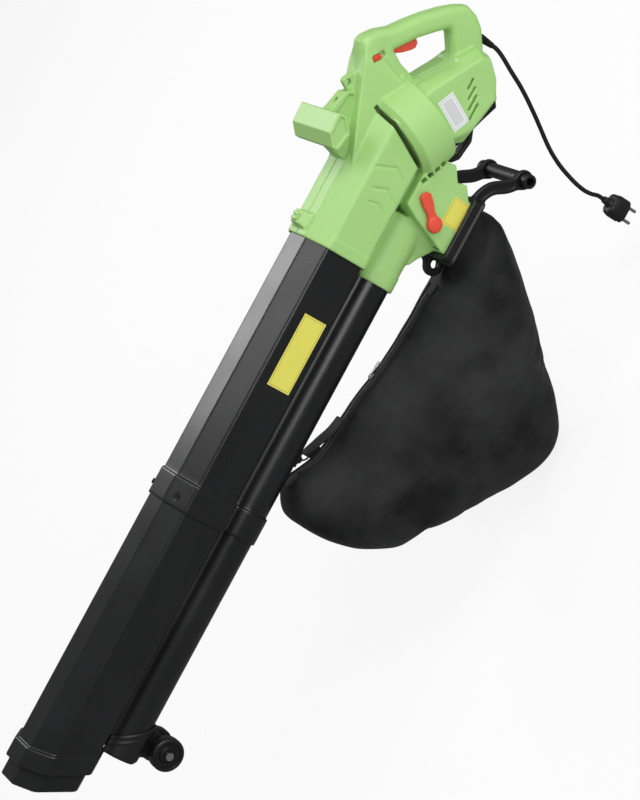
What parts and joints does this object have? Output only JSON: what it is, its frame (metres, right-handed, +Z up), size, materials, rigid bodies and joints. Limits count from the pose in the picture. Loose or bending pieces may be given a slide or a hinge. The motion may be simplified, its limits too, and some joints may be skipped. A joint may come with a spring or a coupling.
{
  "type": "leaf blower",
  "caption": "Electric garden leaf blower and vacuum with double tube, guide wheels, front bar and rear loop grip, mode lever and a hanging collecting bag.",
  "frame": {"origin": "middle of the main grip that the rear hand holds, in the middle plane", "axes": "+X runs along the tubes from the nozzle to the grip, +Z is up with the tubes level, +Y is across to the right hand side of the user"},
  "size_m": [1.233, 0.17, 0.6105],
  "materials": {
    "housing_green": "moulded green plastic, satin with a fine grain",
    "tube_plastic": "semi-gloss dark grey moulded tube",
    "black_plastic": "matte black plastic with a fine grain",
    "dark_fitting": "dark moulded fitting",
    "wheel_plastic": "black moulded wheel",
    "control_orange": "satin orange-red plastic",
    "screw_steel": "dark zinc-plated screw",
    "bright_steel": "bright turned steel",
    "iron_core": "stacked iron laminations",
    "copper": "turned copper",
    "capacitor_grey": "grey potted case",
    "yellow_sticker": "yellow film sticker",
    "white_sticker": "silver-white film sticker",
    "bag_cloth": "black woven nylon with a soft sheen",
    "zip_tape": "black woven tape",
    "cord_rubber": "black flexible rubber"
  },
  "bodies": {
    "housing": {"left_housing": "housing_green", "right_housing": "housing_green", "housing_screws": "screw_steel", "front_handle": "housing_green", "handle_screws": "screw_steel", "base_guard": "black_plastic", "rear_tube": "tube_plastic", "front_tube": "tube_plastic", "nozzle_sleeve": "tube_plastic", "tube_screws": "screw_steel", "wheel_bracket": "black_plastic", "wheel_axle": "bright_steel", "axle_caps": "bright_steel", "trigger_pin": "bright_steel", "switch_body": "dark_fitting", "capacitor": "capacitor_grey", "inlet_ring": "dark_fitting", "front_bearing": "bright_steel", "rear_bearing": "bright_steel", "motor_stator": "iron_core", "brush_yoke": "dark_fitting", "tube_sticker": "yellow_sticker", "outlet_sticker": "yellow_sticker", "rating_sticker": "white_sticker", "bag_hook": "black_plastic", "cord": "cord_rubber", "strain_relief": "cord_rubber", "cord_clamp": "dark_fitting", "plug": "cord_rubber", "plug_pins": "bright_steel"},
    "trigger": {"trigger": "control_orange"},
    "speed_slider": {"speed_slider": "control_orange"},
    "mode_lever": {"mode_lever": "control_orange", "flap_shaft": "dark_fitting", "divider_flap": "dark_fitting"},
    "rotor": {"impeller": "dark_fitting", "impeller_nut": "bright_steel", "motor_shaft": "bright_steel", "motor_rotor": "iron_core", "commutator": "copper"},
    "left_wheel": {"left_wheel": "wheel_plastic"},
    "right_wheel": {"right_wheel": "wheel_plastic"},
    "tube_lock": {"tube_lock": "housing_green"},
    "bag": {"bag_frame": "black_plastic", "bag_crossbar": "black_plastic", "bag_body": "bag_cloth", "bag_zip": "zip_tape", "bag_strap": "zip_tape"},
    "zip_slider": {"zip_slider": "bright_steel"}
  },
  "joints": [
    {"name": "trigger_pull", "type": "hinge", "parent": "housing", "child": "trigger", "pos_m": [-0.03424, 0, 0.0055], "axis": [0, -1, 0], "range_deg": [0, 6], "stiffness_Nm_per_rad": 0.1, "springref_deg": -22.92},
    {"name": "speed_slide", "type": "slide", "parent": "housing", "child": "speed_slider", "axis": [0.7986, 0, -0.6018], "range_m": [0, 0.008]},
    {"name": "mode_turn", "type": "hinge", "parent": "housing", "child": "mode_lever", "pos_m": [-0.219, 0, -0.161], "axis": [0, 1, 0], "range_deg": [0, 80]},
    {"name": "rotor_spin", "type": "hinge", "parent": "housing", "child": "rotor", "pos_m": [-0.148, 0, -0.065], "axis": [0.9063, 0, -0.4226], "continuous": true},
    {"name": "left_wheel_spin", "type": "hinge", "parent": "housing", "child": "left_wheel", "pos_m": [-1.044, 0, -0.207], "axis": [0, 1, 0], "continuous": true},
    {"name": "right_wheel_spin", "type": "hinge", "parent": "housing", "child": "right_wheel", "pos_m": [-1.044, 0, -0.207], "axis": [0, 1, 0], "continuous": true},
    {"name": "lock_lift", "type": "slide", "parent": "housing", "child": "tube_lock", "axis": [0, 0, 1], "range_m": [0, 0.004], "stiffness_N_per_m": 300, "springref_m": -0.008},
    {"name": "bag_release", "type": "slide", "parent": "housing", "child": "bag", "axis": [0, 0, -1], "range_m": [0, 0.08]},
    {"name": "zip_pull", "type": "slide", "parent": "bag", "child": "zip_slider", "axis": [-0.9939, 0, 0.1104], "range_m": [0, 0.04]}
  ]
}
